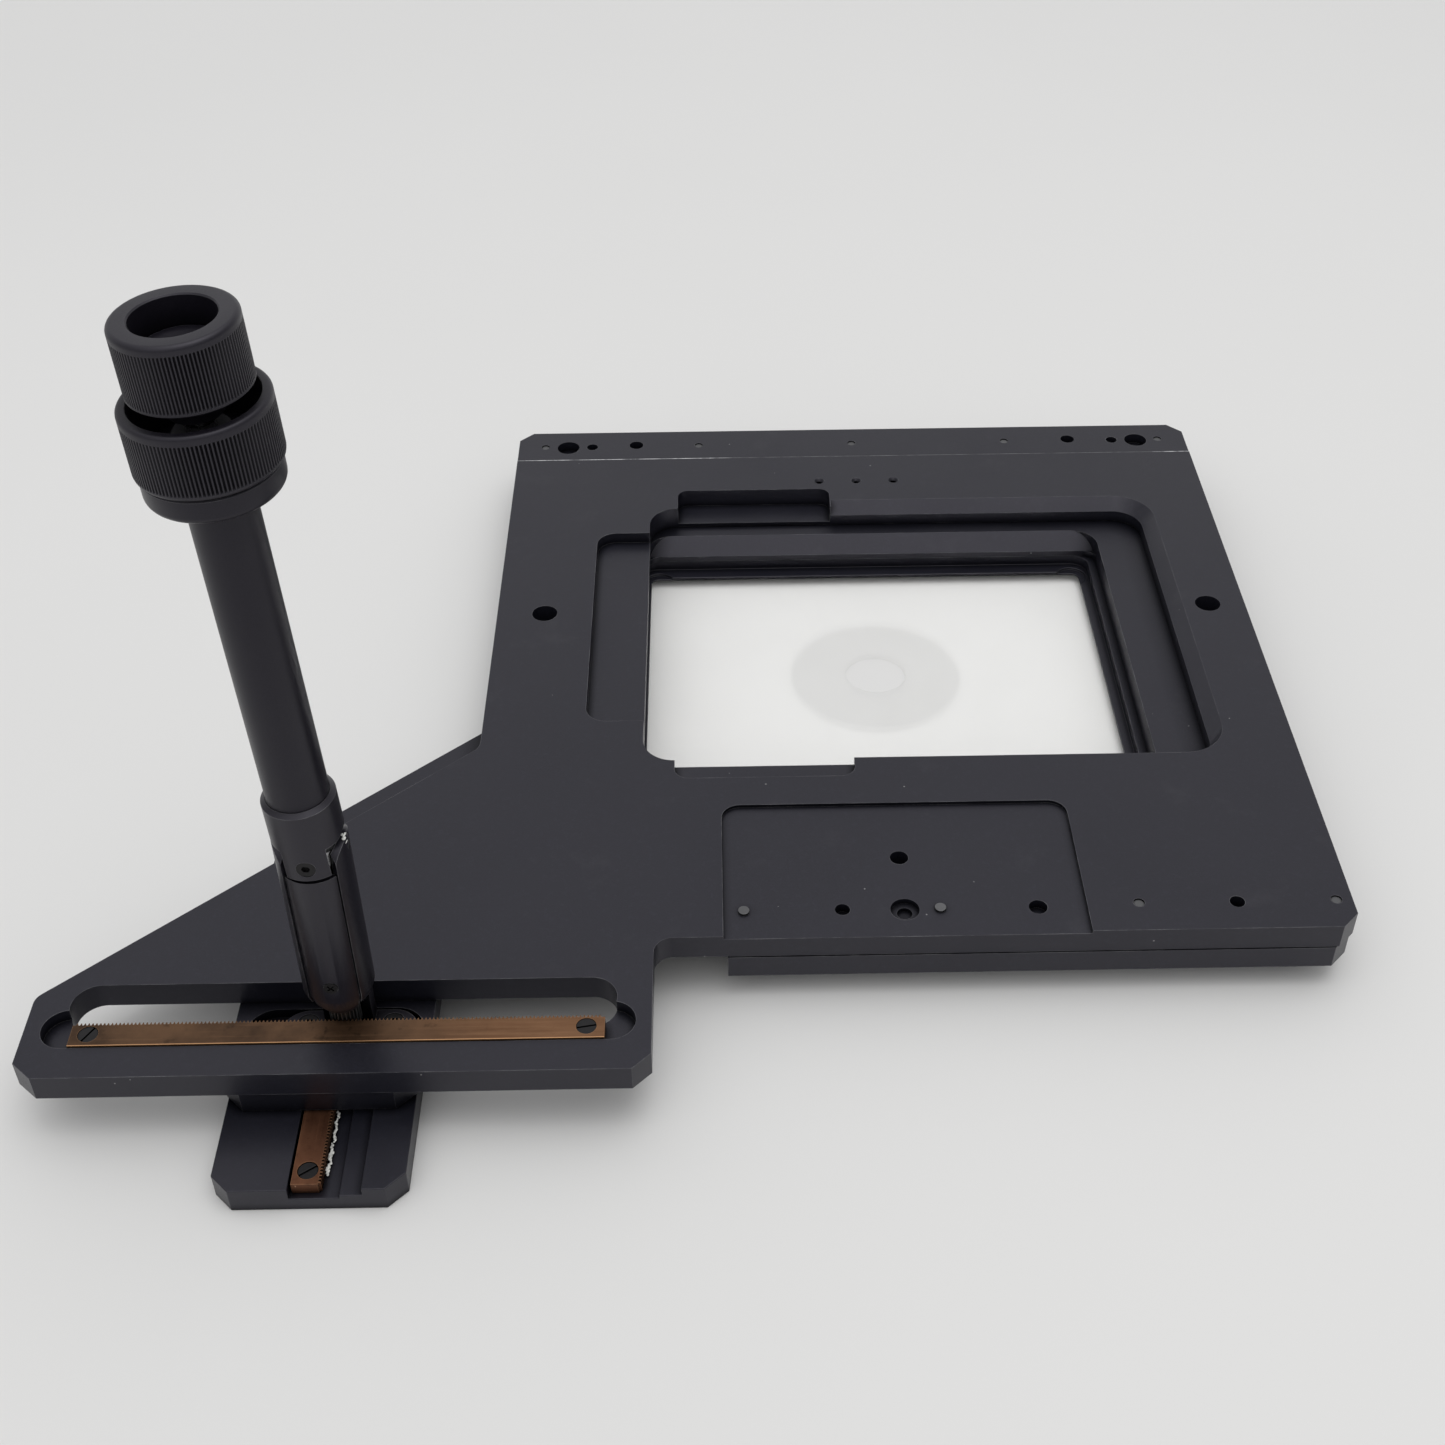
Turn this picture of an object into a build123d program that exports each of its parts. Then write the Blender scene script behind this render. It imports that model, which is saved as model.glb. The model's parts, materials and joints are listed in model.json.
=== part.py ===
"""Mechanical specimen stage of an inverted microscope, lying upside down on its specimen plate.

Three flat plates slide on each other.  The base plate (on top here) bolts to the microscope and
carries the X rack.  The middle plate slides along X under it and carries the flexible handle with
its two coaxial knobs.  The specimen plate slides along Y under the middle plate, carries the Y rack
on a bracket and holds a clear insert.  Units are millimetres.  +X is right, +Y is away from the
handle side, +Z is up.  The origin is the centre of the insert's hole, on the surface the stage
lies on.
"""
from build123d import *
from math import asin, atan, cos, pi, radians, sin, sqrt, tan
import os

os.makedirs("parts", exist_ok=True)

# ---- plate stack --------------------------------------------------------------------------------
GAP = 0.2                                # air gap between two plates
SPECIMEN_T = 7.3
MIDDLE_T = 6.9
BASE_T = 7.4
SPECIMEN_TOP = SPECIMEN_T
MIDDLE_BOTTOM = SPECIMEN_TOP + GAP
MIDDLE_TOP = MIDDLE_BOTTOM + MIDDLE_T
BASE_BOTTOM = MIDDLE_TOP + GAP
BASE_TOP = BASE_BOTTOM + BASE_T

# ---- outlines -----------------------------------------------------------------------------------
LEFT = -117.5                            # body edges of the base plate
RIGHT = 114.5
FAR = 112.5
NEAR = -130.8
ARM_LEFT = -219.5                        # the arm that carries the X rack
ARM_RIGHT = -66.7
ARM_NEAR = -173.0
CORNER = 4.6                             # corner chamfer of every plate
DIAGONAL = 42.0                          # angle of the arm's slanting edge, degrees
DIAGONAL_Y = -55.7                       # where that edge leaves the left side of the base plate

# ---- drive --------------------------------------------------------------------------------------
MODULE = 0.3
X_TEETH = 24                             # a multiple of four keeps both racks in step
Y_TEETH = 16
X_PITCH_R = MODULE * X_TEETH / 2
Y_PITCH_R = MODULE * Y_TEETH / 2
BACKLASH = 0.12                          # taken off each tooth's thickness
SHAFT_X = -142.1                         # the handle's axis
SHAFT_Y = -153.1
TRAVEL_X = 57.0
TRAVEL_Y = 37.5
RACK_W = 7.1                             # from a rack's back to its tooth tips
RACK_T = 3.3
X_RACK_Z = BASE_TOP - 2.9                # the racks' seats
Y_RACK_Z = 4.0
X_RACK_FROM, X_RACK_TO = -207.7, -78.1
Y_RACK_FROM, Y_RACK_TO = -193.8, -113.0

# ---- handle -------------------------------------------------------------------------------------
GIMBAL_Z = 78.3
REST_LEAN = -2.4                         # the handle leans a little to the left at rest, degrees
COLUMN_BOTTOM = 26.4
COLUMN_TOP = 72.5
CONE_TOP = 33.5
COLUMN_R = 7.0
COVER_R = 8.1
FORK_R = 8.6
FORK_TOP = 82.0
SKIN_IN = 7.05                           # inner radius of the cover and the fork
EAR_ANGLE = 37.0                         # half angle of the collar's front and rear ears
FORK_ANGLE = 47.0                        # where the fork begins, from the front
COLLAR_R = 8.4
COLLAR_TOP = 94.5
TUBE_R = 7.1
TUBE_IN = 5.2
TUBE_TOP = 177.4
RING_R = 14.0                            # end ring below the knobs
RING_Z = 175.0
X_KNOB_R = 14.8
X_KNOB_Z = 180.8
X_KNOB_TOP = 195.1
Y_KNOB_R = 12.35
Y_KNOB_Z = 197.0
Y_KNOB_TOP = 212.3
SLEEVE_R = 3.0                           # outer drive sleeve
SHAFT_R = 1.5                            # inner drive shaft
X_BALL_R = 4.55
Y_BALL_R = 2.1
RUN = 0.05                               # radial running clearance
SNUG = 0.02                              # gap of a fixed, glued or pressed joint


# ---- small helpers ------------------------------------------------------------------------------
def face_of(corners):
    """Flat face from (x, y, radius) corners; a radius of 0 leaves the corner sharp."""
    starts, ends, mids = [], [], []
    count = len(corners)
    for i, (x, y, r) in enumerate(corners):
        here = Vector(x, y)
        before = Vector(*corners[i - 1][:2])
        after = Vector(*corners[(i + 1) % count][:2])
        u = (before - here).normalized()
        v = (after - here).normalized()
        if r <= 0:
            starts.append(here)
            ends.append(here)
            mids.append(None)
            continue
        half = radians(u.get_angle(v)) / 2
        back = r / tan(half)
        starts.append(here + u * back)
        ends.append(here + v * back)
        mids.append(here + (u + v).normalized() * (r / sin(half) - r))
    edges = []
    for i in range(count):
        if mids[i] is not None:
            edges.append(Edge.make_three_point_arc(starts[i], mids[i], ends[i]))
        if (starts[(i + 1) % count] - ends[i]).length > 1e-6:
            edges.append(Edge.make_line(ends[i], starts[(i + 1) % count]))
    return Face(Wire(edges))


def slab(corners, z0, z1):
    """Prism from z0 to z1 over the outline."""
    return Pos(0, 0, z0) * Solid.extrude(face_of(corners), Vector(0, 0, z1 - z0))


def block(x0, x1, y0, y1, z0, z1, r=0.0):
    """Box given by its limits, with rounded upright corners."""
    return slab([(x0, y0, r), (x1, y0, r), (x1, y1, r), (x0, y1, r)], z0, z1)


def disc(x, y, r, z0, z1):
    """Upright cylinder."""
    return Pos(x, y, z0) * Cylinder(r, z1 - z0, align=(Align.CENTER, Align.CENTER, Align.MIN))


def cone(x, y, r0, r1, z0, z1):
    """Upright cone, radius r0 at z0 and r1 at z1."""
    return Pos(x, y, z0) * Cone(r0, r1, z1 - z0, align=(Align.CENTER, Align.CENTER, Align.MIN))


def stadium(x0, x1, y_mid, r, z0, z1):
    """Slot shape along X with round ends."""
    middle = block(x0 + r, x1 - r, y_mid - r, y_mid + r, z0, z1)
    return middle + disc(x0 + r, y_mid, r, z0, z1) + disc(x1 - r, y_mid, r, z0, z1)


def turned(points):
    """Solid of revolution about the handle's axis from (radius, z) points."""
    wire = Wire.make_polygon([Vector(r, 0, z) for r, z in points], close=True)
    return Pos(SHAFT_X, SHAFT_Y, 0) * Solid.revolve(Face(wire), 360, Axis.Z)


def wedge(angle_from, angle_to, z0, z1, reach=30.0):
    """Upright wedge about the handle's axis; angles in degrees, 0 towards the front (-Y)."""
    points = [(0.0, 0.0)]
    steps = 6
    for i in range(steps + 1):
        a = radians(angle_from + (angle_to - angle_from) * i / steps)
        points.append((reach * sin(a), -reach * cos(a)))
    corners = [(SHAFT_X + x, SHAFT_Y + y, 0) for x, y in points]
    return slab(corners, z0, z1)


def lean(solid):
    """Tilt a piece of the handle about the gimbal's centre, as it stands at rest."""
    centre = Pos(SHAFT_X, SHAFT_Y, GIMBAL_Z)
    return centre * Rot(0, REST_LEAN, 0) * centre.inverse() * solid


def group(solids):
    """Separate solids kept in one node."""
    return Compound(children=[s if isinstance(s, Solid) else s.solids()[0] for s in solids])


def save(node, shape):
    export_step(shape, f"parts/{node}.step")
    print(f"{node}: {len(shape.solids())} solids, {shape.volume:.1f} mm3")


# ---- tooth forms --------------------------------------------------------------------------------
def rack_bar(length_from, length_to, back, z0, z1):
    """Toothed bar along X with its pitch line on y = 0 and its teeth towards +Y.

    A tooth space is centred on x = 0."""
    pitch = pi * MODULE
    tip = MODULE
    root = -1.25 * MODULE
    slope = tan(radians(20))
    half_pitch_line = (pitch / 2 - BACKLASH) / 2
    points = [(length_from, -back), (length_from, root)]
    n = int(length_from // pitch) + 1
    while True:
        centre = (n + 0.5) * pitch
        half_root = half_pitch_line - root * slope
        half_tip = half_pitch_line - tip * slope
        if centre + half_root > length_to - 0.2:
            break
        if centre - half_root > length_from + 0.2:
            points += [(centre - half_root, root), (centre - half_tip, tip)]
            points += [(centre + half_tip, tip), (centre + half_root, root)]
        n += 1
    points += [(length_to, root), (length_to, -back)]
    wire = Wire.make_polygon([Vector(x, y) for x, y in points], close=True)
    return Pos(0, 0, z0) * Solid.extrude(Face(wire), Vector(0, 0, z1 - z0))


def pinion(teeth, z0, z1):
    """Involute spur pinion on the handle's axis, with one tooth pointing along +X."""
    pitch_r = MODULE * teeth / 2
    base_r = pitch_r * cos(radians(20))
    tip_r = pitch_r + 0.9 * MODULE
    root_r = pitch_r - 1.25 * MODULE

    def half_angle(r):
        """Half of a tooth's angle at radius r."""
        at_pitch = (pi * MODULE / 2 - BACKLASH) / 2 / pitch_r
        if r <= base_r:
            r = base_r
        involute = sqrt((r / base_r) ** 2 - 1)
        pitch_involute = tan(radians(20))
        return at_pitch + (pitch_involute - radians(20)) - (involute - atan(involute))

    flank = [root_r] + [base_r + (tip_r - base_r) * i / 4 for i in range(5)]
    points = []
    for tooth in range(teeth):
        middle = 2 * pi * tooth / teeth
        for r in flank:
            a = middle - half_angle(r)
            points.append(Vector(r * cos(a), r * sin(a)))
        for r in reversed(flank):
            a = middle + half_angle(r)
            points.append(Vector(r * cos(a), r * sin(a)))
    wire = Wire.make_polygon(points, close=True)
    return Pos(SHAFT_X, SHAFT_Y, z0) * Solid.extrude(Face(wire), Vector(0, 0, z1 - z0))


def hexagon(x, y, r):
    return [(x + r * cos(pi * i / 3), y + r * sin(pi * i / 3), 0) for i in range(6)]


def slotted_screw(x, y, r, z0, z1, angle):
    """Cheese-head screw seen from above: a disc with a screwdriver slot."""
    head = disc(x, y, r, z0, z1)
    slot = Pos(x, y, z1) * Rot(0, 0, angle) * Box(3 * r, 0.55, 1.4)
    return head - slot


def socket_screw(x, y, head_r, z0, z1, shank_r, shank_z0):
    """Cap screw with a hexagon socket in its head."""
    body = disc(x, y, head_r, z0, z1) + disc(x, y, shank_r, shank_z0, z0)
    key = Solid.extrude(face_of(hexagon(x, y, head_r * 0.5)), Vector(0, 0, 2.0))
    return body - Pos(0, 0, z1 - 1.4) * key


# ---- linear guides ------------------------------------------------------------------------------
RAIL_W = 5.6
RAIL_H = 5.6
BALL_R = 1.5
BALL_PITCH = 9.0
BALL_GAP = 1.0                           # between the facing sides of the two rails
GUIDE_W = 2 * RAIL_W + BALL_GAP
GUIDE_UP = 2.9                           # how deep a guide reaches into the plate above it
GUIDE_DOWN = 2.7                         # how deep a guide reaches into the plate below it
GUIDE_ROOM = 0.1                         # air above and below the rails in their pockets
X_GUIDE_Z = (MIDDLE_TOP + BASE_BOTTOM) / 2 + (GUIDE_UP - GUIDE_DOWN) / 2
Y_GUIDE_Z = (SPECIMEN_TOP + MIDDLE_BOTTOM) / 2 + (GUIDE_UP - GUIDE_DOWN) / 2
FAR_GUIDE = (-108.0, 105.0, 100.2)       # X from, X to, Y of the ball line
NEAR_GUIDE = (-46.0, 112.4, -117.8)
LEFT_GUIDE_X = -100.5
RIGHT_GUIDE_X = 97.0
LONG_SIDE_RAIL = (-108.0, 90.0)          # Y limits of the middle plate's rails
SHORT_SIDE_RAIL = (-70.0, 52.0)          # Y limits of the specimen plate's rails


def rail(start, stop, side):
    """One rail along X; side +1 puts it on the +Y side of the ball line, -1 on the other."""
    y0 = BALL_GAP / 2
    y1 = y0 + RAIL_W
    half = RAIL_H / 2
    groove = (BALL_R + RUN) * sqrt(2) - y0
    section = [(y0, -half), (y1, -half), (y1, half), (y0, half), (y0, groove), (y0 + groove, 0), (y0, -groove)]
    wire = Wire.make_polygon([Vector(start, side * y, z) for y, z in section], close=True)
    return Solid.extrude(Face(wire), Vector(stop - start, 0, 0))


def ball_centres(start, stop):
    count = int((stop - start) // BALL_PITCH)
    first = (start + stop - (count - 1) * BALL_PITCH) / 2
    return [first + i * BALL_PITCH for i in range(count)]


def cage(start, stop):
    """Thin strip along X that spaces the balls, with a hole for each."""
    strip = Pos((start + stop) / 2, 0, 0) * Box(stop - start, 0.6, 4.4)
    for x in ball_centres(start, stop):
        strip -= Pos(x, 0, 0) * Rot(90, 0, 0) * Cylinder(BALL_R + RUN, 2)
    return strip


def balls(start, stop):
    return [Pos(x, 0, 0) * Sphere(BALL_R) for x in ball_centres(start, stop)]


def along_x(y):
    return Pos(0, y, X_GUIDE_Z)


def along_y(x):
    """Place of a guide made along X that runs along Y: its +Y side turns to -X."""
    return Pos(x, 0, Y_GUIDE_Z) * Rot(0, 0, 90)


def cage_span(start, stop, travel):
    """Limits of the longest cage that stays between two rails of the same length."""
    return start + travel / 2, stop - travel / 2


def guide_rails():
    far_from, far_to, far_y = FAR_GUIDE
    near_from, near_to, near_y = NEAR_GUIDE
    save("x_rails_base", group([
        along_x(far_y) * rail(far_from, far_to, 1),
        along_x(near_y) * rail(near_from, near_to, -1)]))
    save("x_rails_middle", group([
        along_x(far_y) * rail(far_from, far_to, -1),
        along_x(near_y) * rail(near_from, near_to, 1)]))
    save("y_rails_middle", group([
        along_y(LEFT_GUIDE_X) * rail(*LONG_SIDE_RAIL, 1),
        along_y(RIGHT_GUIDE_X) * rail(*LONG_SIDE_RAIL, -1)]))
    save("y_rails_specimen", group([
        along_y(LEFT_GUIDE_X) * rail(*SHORT_SIDE_RAIL, -1),
        along_y(RIGHT_GUIDE_X) * rail(*SHORT_SIDE_RAIL, 1)]))
    far_cage = cage_span(far_from, far_to, TRAVEL_X)
    near_cage = cage_span(near_from, near_to, TRAVEL_X)
    side_cage = cage_span(*SHORT_SIDE_RAIL, TRAVEL_Y)
    save("x_ball_cages", group([along_x(far_y) * cage(*far_cage), along_x(near_y) * cage(*near_cage)]))
    save("y_ball_cages", group([along_y(x) * cage(*side_cage) for x in (LEFT_GUIDE_X, RIGHT_GUIDE_X)]))
    x_balls = [along_x(far_y) * b for b in balls(*far_cage)] + [along_x(near_y) * b for b in balls(*near_cage)]
    y_balls = [along_y(x) * b for x in (LEFT_GUIDE_X, RIGHT_GUIDE_X) for b in balls(*side_cage)]
    save("x_guide_balls", group(x_balls))
    save("y_guide_balls", group(y_balls))


def x_guide_pockets(z0, z1):
    """Room for the two X guides; both run out of the plate's right side."""
    half = GUIDE_W / 2 + 0.2
    far_y, near_y = FAR_GUIDE[2], NEAR_GUIDE[2]
    near_from = NEAR_GUIDE[0] - TRAVEL_X - 2
    far = block(LEFT - 5, RIGHT + 5, far_y - half, far_y + half, z0, z1)
    return [far, block(near_from, RIGHT + 5, near_y - half, near_y + half, z0, z1)]


def y_guide_pockets(y0, y1, z0, z1):
    """Room for the two Y guides."""
    half = GUIDE_W / 2 + 0.2
    return [block(x - half, x + half, y0, y1, z0, z1) for x in (LEFT_GUIDE_X, RIGHT_GUIDE_X)]


# ---- base plate ---------------------------------------------------------------------------------
OPENING = (-71.1, 91.6, -62.5, 64.0)     # through opening: left, right, near, far
BEVEL = 3.7                              # lead-in around its far, right and near sides
STRIP_Y = 94.8                           # the far strip is milled a little lower from here
SLOT_R = 6.6
SLOT_Y = -143.8 - SLOT_R
SLOT_FROM, SLOT_TO = -210.1, -75.4
SEAT_R = 6.0                             # rack seat with its round ends
SEAT_Y = -157.8
SEAT_FROM, SEAT_TO = -215.4, -70.6
RACK_SCREWS_X = [-203.4, -82.6]
RACK_SCREW_Y = -159.9
FAR_SCREWS_X = [-108.3, -55.0, -1.8, 51.5, 105.1]
NEAR_SCREWS_X = [-43.6, 7.4, 58.9, 110.2]
FAR_SCREW_Y = 103.5
NEAR_SCREW_Y = -121.1
SIDE_HOLES = (-102.8, 103.0, 7.2, 3.9)   # X of the left one, X of the right one, Y, radius
FAR_MIDDLE_X = -1.5                      # the far holes lie in pairs about this X
FAR_HOLES = [(98.8, 102.9, 3.82), (90.5, 103.2, 1.92), (75.2, 104.1, 2.39)]
FRONT_HOLE = (-1.8, -102.1, 2.475)


def base_outline():
    corner_y = DIAGONAL_Y - (LEFT - ARM_LEFT) * tan(radians(DIAGONAL))
    return [
        (LEFT + CORNER, FAR, 0), (LEFT, FAR - CORNER, 0),
        (LEFT, DIAGONAL_Y, 5.0), (ARM_LEFT, corner_y, 4.0),
        (ARM_LEFT, ARM_NEAR + CORNER, 0), (ARM_LEFT + CORNER + 0.6, ARM_NEAR, 0),
        (ARM_RIGHT - CORNER, ARM_NEAR, 0), (ARM_RIGHT, ARM_NEAR + CORNER, 0),
        (ARM_RIGHT, NEAR, 4.8), (RIGHT - CORNER, NEAR, 0),
        (RIGHT, NEAR + CORNER, 0), (RIGHT, FAR - CORNER, 0), (RIGHT - CORNER, FAR, 0)]


def opening_bevel():
    """Sloping lead-in along the far, right and near sides of the opening's right part."""
    left, right, near, far = OPENING
    start = -11.0
    inner = [(start, near, 0), (right, near, 9.0), (right, far, 9.0), (start, far, 0)]
    outer = [(start, near, 0), (right + BEVEL, near, 12.7), (right + BEVEL, far + BEVEL, 12.7), (start, far + BEVEL, 0)]
    low = Pos(0, 0, BASE_TOP - BEVEL) * face_of(inner)
    high = Pos(0, 0, BASE_TOP) * face_of(outer)
    return Solid.make_loft([low.outer_wire(), high.outer_wire()], True)


def base_plate():
    plate = slab(base_outline(), BASE_BOTTOM, BASE_TOP)
    left, right, near, far = OPENING
    below = BASE_BOTTOM - 1
    above = BASE_TOP + 1
    plate -= slab([(left, near, 9.0), (right, near, 9.0), (right, far, 9.0), (left, far, 9.0)], below, above)
    plate -= opening_bevel()
    plate -= block(-88.0, left + 9, -44.9, 50.0, BASE_TOP - 3.7, above, 6.0)
    plate -= block(-62.0, -11.3, far - 6, 74.5, BASE_TOP - 6.1, above, 3.5)
    plate -= block(-62.0, -11.3, -70.1, near + 6, BASE_TOP - 2.7, above, 4.0)
    plate -= block(-49.0, 45.4, NEAR - 10, -81.5, BASE_TOP - 1.0, above, 5.0)
    plate -= block(LEFT - 5, RIGHT + 5, STRIP_Y, FAR + 5, BASE_TOP - 0.3, above)
    plate -= stadium(SLOT_FROM, SLOT_TO, SLOT_Y, SLOT_R, below, above)
    plate -= stadium(SEAT_FROM, SEAT_TO, SEAT_Y, SEAT_R, X_RACK_Z, above)
    for x in (SEAT_FROM + SEAT_R, SEAT_TO - SEAT_R):
        plate -= disc(x, SEAT_Y, SEAT_R, X_RACK_Z - 0.5, above)
    for x in RACK_SCREWS_X:
        plate -= disc(x, RACK_SCREW_Y, 1.3, X_RACK_Z - 2.6, above)
    left_x, right_x, side_y, side_r = SIDE_HOLES
    for x in (left_x, right_x):
        plate -= disc(x, side_y, side_r, below, above)
    for side in (-1, 1):
        for x, y, r in FAR_HOLES:
            plate -= disc(FAR_MIDDLE_X + side * x, y, r, BASE_TOP - 3.8, above)
    plate -= disc(*FRONT_HOLE, below, above)
    for x, y, r in [(-18.0, -120.9, 1.98), (32.8, -121.1, 2.45), (84.4, -121.3, 1.99)]:
        plate -= disc(x, y, r, BASE_TOP - 3.8, above)
    plate -= disc(-1.8, -121.2, 3.8, BASE_TOP - 2.6, above)
    plate -= disc(-1.8, -121.2, 2.0, BASE_TOP - 3.8, above)
    for x in (-14.2, -1.7, 10.9):
        plate -= disc(x, 79.3, 0.9, BASE_TOP - 4.0, above)
        plate -= cone(x, 79.3, 0.9, 1.7, BASE_TOP - 0.8, BASE_TOP + 0.001)
    for x in FAR_SCREWS_X:
        plate -= disc(x, FAR_SCREW_Y, 1.4, below, above)
    for x in NEAR_SCREWS_X:
        plate -= disc(x, NEAR_SCREW_Y, 1.5, below, above)
    for pocket in x_guide_pockets(below, X_GUIDE_Z + RAIL_H / 2 + GUIDE_ROOM):
        plate -= pocket
    return plate


def rail_screws():
    """Plug screws that hold the base plate's rails, a little below its top."""
    low = X_GUIDE_Z + RAIL_H / 2 + SNUG
    far = [disc(x, FAR_SCREW_Y, 1.38, low, BASE_TOP - 0.6) for x in FAR_SCREWS_X]
    near = [disc(x, NEAR_SCREW_Y, 1.48, low, BASE_TOP - 0.35) for x in NEAR_SCREWS_X]
    return group(far + near)


# ---- racks --------------------------------------------------------------------------------------
def x_rack():
    bar = rack_bar(X_RACK_FROM - SHAFT_X, X_RACK_TO - SHAFT_X, RACK_W - MODULE, X_RACK_Z + SNUG, X_RACK_Z + RACK_T)
    bar = Pos(SHAFT_X, SHAFT_Y - X_PITCH_R, 0) * bar
    for x in RACK_SCREWS_X:
        bar -= disc(x, RACK_SCREW_Y, 2.5, X_RACK_Z + RACK_T - 1.6, BASE_TOP + 5)
        bar -= disc(x, RACK_SCREW_Y, 1.3, X_RACK_Z - 1, BASE_TOP + 5)
    return bar


Y_SCREW_X = SHAFT_X - Y_PITCH_R + MODULE - RACK_W / 2
Y_SCREWS_Y = [-189.8, -117.0]


def y_rack():
    bar = rack_bar(SHAFT_Y - Y_RACK_TO, SHAFT_Y - Y_RACK_FROM, RACK_W - MODULE, Y_RACK_Z + SNUG, Y_RACK_Z + RACK_T)
    bar = Pos(SHAFT_X - Y_PITCH_R, SHAFT_Y, 0) * Rot(0, 0, -90) * bar
    for y in Y_SCREWS_Y:
        bar -= disc(Y_SCREW_X, y, 2.5, Y_RACK_Z + RACK_T - 1.6, Y_RACK_Z + 9)
        bar -= disc(Y_SCREW_X, y, 1.3, Y_RACK_Z - 1, Y_RACK_Z + 9)
    return bar


def rack_screw(x, y, seat, angle):
    top = seat + RACK_T - 0.15
    return slotted_screw(x, y, 2.4, top - 1.4, top, angle) + disc(x, y, 1.25, seat - 2.4, top - 1.4)


# ---- middle plate -------------------------------------------------------------------------------
M_LEFT, M_RIGHT, M_FAR, M_NEAR = -116.5, 113.7, 112.0, -131.0
M_ARM = (-170.8, -121.5, -172.2)         # arm: left, right, near
M_ARM_CORNER = 7.5                       # larger corner chamfer at the arm's right
M_FRONT_LEFT = -47.9
M_INNER = -106.0
M_DIAGONAL_Y = -38.5
M_OPENING = (-72.0, 76.6, -58.0, 58.8)
M_BEVEL = 4.9
POST_POCKET_Z = MIDDLE_TOP - 3.0


def middle_plate():
    arm_left, arm_right, arm_near = M_ARM
    corner_y = M_DIAGONAL_Y - (M_LEFT - arm_left) * tan(radians(DIAGONAL))
    outline = [
        (M_LEFT + CORNER, M_FAR, 0), (M_LEFT, M_FAR - CORNER, 0), (M_LEFT, M_DIAGONAL_Y, 5.0),
        (arm_left, corner_y, 4.0), (arm_left, arm_near + CORNER, 0), (arm_left + CORNER, arm_near, 0),
        (arm_right - M_ARM_CORNER, arm_near, 0), (arm_right, arm_near + M_ARM_CORNER, 0), (arm_right, M_INNER, 8.0),
        (M_FRONT_LEFT, M_INNER, 4.0), (M_FRONT_LEFT, M_NEAR, 0), (M_RIGHT - CORNER, M_NEAR, 0),
        (M_RIGHT, M_NEAR + CORNER, 0), (M_RIGHT, M_FAR - CORNER, 0), (M_RIGHT - CORNER, M_FAR, 0)]
    plate = slab(outline, MIDDLE_BOTTOM, MIDDLE_TOP)
    left, right, near, far = M_OPENING
    below = MIDDLE_BOTTOM - 1
    above = MIDDLE_TOP + 1
    plate -= block(left, right, near, far - M_BEVEL, below, above, 4.0)
    plate -= far_bevel() & block(left, right, near, far, below, above, 8.0)
    plate -= block(-168.0, -123.5, -164.6, -146.0, POST_POCKET_Z, above, 7.5)
    plate -= disc(SHAFT_X, SHAFT_Y, 4.2, below, above)
    for x in POST_SCREWS_X:
        plate -= disc(x, POST_SCREW_Y, 1.3, below, above)
    for pocket in x_guide_pockets(X_GUIDE_Z - RAIL_H / 2 - GUIDE_ROOM, above):
        plate -= pocket
    low, high = LONG_SIDE_RAIL
    for pocket in y_guide_pockets(low - 0.5, high + 0.5, below, Y_GUIDE_Z + RAIL_H / 2 + GUIDE_ROOM):
        plate -= pocket
    return plate


def far_bevel():
    """Sloping face along the far side of the middle plate's opening."""
    left, right, near, far = M_OPENING
    section = [(0, MIDDLE_TOP - M_BEVEL), (far - M_BEVEL, MIDDLE_TOP - M_BEVEL), (far, MIDDLE_TOP),
               (far, MIDDLE_TOP + 1), (0, MIDDLE_TOP + 1)]
    wire = Wire.make_polygon([Vector(left, y, z) for y, z in section], close=True)
    return Solid.extrude(Face(wire), Vector(right - left, 0, 0))


# ---- specimen plate and its insert --------------------------------------------------------------
S_BODY = (-112.0, 110.0, -105.0, 95.0)
S_ARM = (-170.5, -124.5, -195.5)
APERTURE = (71.0, 49.8)                  # half width and half depth of the ledge's opening
LEDGE_TOP = 3.8                          # the insert hangs under this ledge
WELL = (74.0, 54.5)                      # half width and half depth above the ledge
EAR_R = 5.0                              # round reliefs at the ledge's far corners
INSERT = (80.0, 55.0, 2.5)               # half width, half depth, thickness
INSERT_HOLE_R = 9.5
DISH_R = 27.0
GROOVE = (-151.9, -140.0, -134.6)        # rack side, step, right side of the rack's channel


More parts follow.
